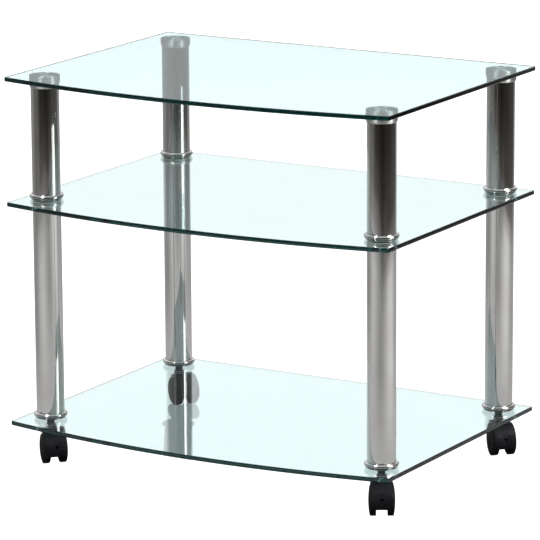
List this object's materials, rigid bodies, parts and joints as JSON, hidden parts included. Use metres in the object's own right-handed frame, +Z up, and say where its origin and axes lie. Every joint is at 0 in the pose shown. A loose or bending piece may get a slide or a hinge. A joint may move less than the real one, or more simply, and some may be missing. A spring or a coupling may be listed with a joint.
{
  "type": "tv trolley",
  "caption": "Low television trolley with bow-fronted clear glass shelves on chrome tube posts, rolling on black twin-wheel swivel castors.",
  "frame": {"origin": "on the floor, under the middle of the shelves' outline", "axes": "+Z up, +X to the right along the shelf's width, front (bowed edge) towards -Y"},
  "size_m": [0.5821, 0.44, 0.53],
  "materials": {
    "glass": "clear float glass, polished edges",
    "chrome": "bright chrome plate",
    "zinc_steel": "zinc plated, dull",
    "dark_steel": "black oxide, oiled",
    "castor_plastic": "black, fine moulded grain",
    "wheel_plastic": "black, satin",
    "plug_nylon": "natural nylon",
    "soft_washer": "clear soft vinyl"
  },
  "bodies": {
    "trolley": {"top_shelf": "glass", "middle_shelf": "glass", "bottom_shelf": "glass", "cap_front_left": "chrome", "upper_tube_front_left": "chrome", "middle_collar_front_left": "chrome", "lower_tube_front_left": "chrome", "bottom_collar_front_left": "chrome", "castor_stem_front_left": "dark_steel", "cap_front_right": "chrome", "upper_tube_front_right": "chrome", "middle_collar_front_right": "chrome", "lower_tube_front_right": "chrome", "bottom_collar_front_right": "chrome", "castor_stem_front_right": "dark_steel", "cap_back_left": "chrome", "upper_tube_back_left": "chrome", "middle_collar_back_left": "chrome", "lower_tube_back_left": "chrome", "bottom_collar_back_left": "chrome", "castor_stem_back_left": "dark_steel", "cap_back_right": "chrome", "upper_tube_back_right": "chrome", "middle_collar_back_right": "chrome", "lower_tube_back_right": "chrome", "bottom_collar_back_right": "chrome", "castor_stem_back_right": "dark_steel", "upper_top_plugs": "plug_nylon", "upper_bottom_plugs": "plug_nylon", "lower_top_plugs": "plug_nylon", "lower_bottom_plugs": "plug_nylon", "cap_studs": "zinc_steel", "middle_studs": "zinc_steel", "middle_upper_washers": "soft_washer", "middle_lower_washers": "soft_washer", "bottom_upper_washers": "soft_washer", "castor_washers": "soft_washer"},
    "castor_front_left": {"castor_hood_front_left": "castor_plastic", "castor_axle_front_left": "zinc_steel"},
    "wheel_left_front_left": {"castor_wheel_left_front_left": "wheel_plastic"},
    "wheel_right_front_left": {"castor_wheel_right_front_left": "wheel_plastic"},
    "castor_front_right": {"castor_hood_front_right": "castor_plastic", "castor_axle_front_right": "zinc_steel"},
    "wheel_left_front_right": {"castor_wheel_left_front_right": "wheel_plastic"},
    "wheel_right_front_right": {"castor_wheel_right_front_right": "wheel_plastic"},
    "castor_back_left": {"castor_hood_back_left": "castor_plastic", "castor_axle_back_left": "zinc_steel"},
    "wheel_left_back_left": {"castor_wheel_left_back_left": "wheel_plastic"},
    "wheel_right_back_left": {"castor_wheel_right_back_left": "wheel_plastic"},
    "castor_back_right": {"castor_hood_back_right": "castor_plastic", "castor_axle_back_right": "zinc_steel"},
    "wheel_left_back_right": {"castor_wheel_left_back_right": "wheel_plastic"},
    "wheel_right_back_right": {"castor_wheel_right_back_right": "wheel_plastic"}
  },
  "joints": [
    {"name": "castor_swivel_front_left", "type": "hinge", "parent": "trolley", "child": "castor_front_left", "pos_m": [-0.255, -0.145, 0.045], "axis": [0, 0, 1], "continuous": true},
    {"name": "wheel_left_spin_front_left", "type": "hinge", "parent": "castor_front_left", "child": "wheel_left_front_left", "pos_m": [-0.24404, -0.15596, 0.0205], "axis": [0.7071, 0.7071, 0], "continuous": true},
    {"name": "wheel_right_spin_front_left", "type": "hinge", "parent": "castor_front_left", "child": "wheel_right_front_left", "pos_m": [-0.24404, -0.15596, 0.0205], "axis": [0.7071, 0.7071, 0], "continuous": true},
    {"name": "castor_swivel_front_right", "type": "hinge", "parent": "trolley", "child": "castor_front_right", "pos_m": [0.255, -0.145, 0.045], "axis": [0, 0, 1], "continuous": true},
    {"name": "wheel_left_spin_front_right", "type": "hinge", "parent": "castor_front_right", "child": "wheel_left_front_right", "pos_m": [0.26275, -0.15842, 0.0205], "axis": [0.866, 0.5, 0], "continuous": true},
    {"name": "wheel_right_spin_front_right", "type": "hinge", "parent": "castor_front_right", "child": "wheel_right_front_right", "pos_m": [0.26275, -0.15842, 0.0205], "axis": [0.866, 0.5, 0], "continuous": true},
    {"name": "castor_swivel_back_left", "type": "hinge", "parent": "trolley", "child": "castor_back_left", "pos_m": [-0.255, 0.185, 0.045], "axis": [0, 0, 1], "continuous": true},
    {"name": "wheel_left_spin_back_left", "type": "hinge", "parent": "castor_back_left", "child": "wheel_left_back_left", "pos_m": [-0.2423, 0.17611, 0.0205], "axis": [0.5736, 0.8192, 0], "continuous": true},
    {"name": "wheel_right_spin_back_left", "type": "hinge", "parent": "castor_back_left", "child": "wheel_right_back_left", "pos_m": [-0.2423, 0.17611, 0.0205], "axis": [0.5736, 0.8192, 0], "continuous": true},
    {"name": "castor_swivel_back_right", "type": "hinge", "parent": "trolley", "child": "castor_back_right", "pos_m": [0.255, 0.185, 0.045], "axis": [0, 0, 1], "continuous": true},
    {"name": "wheel_left_spin_back_right", "type": "hinge", "parent": "castor_back_right", "child": "wheel_left_back_right", "pos_m": [0.26557, 0.17366, 0.0205], "axis": [0.7314, 0.682, 0], "continuous": true},
    {"name": "wheel_right_spin_back_right", "type": "hinge", "parent": "castor_back_right", "child": "wheel_right_back_right", "pos_m": [0.26557, 0.17366, 0.0205], "axis": [0.7314, 0.682, 0], "continuous": true}
  ]
}
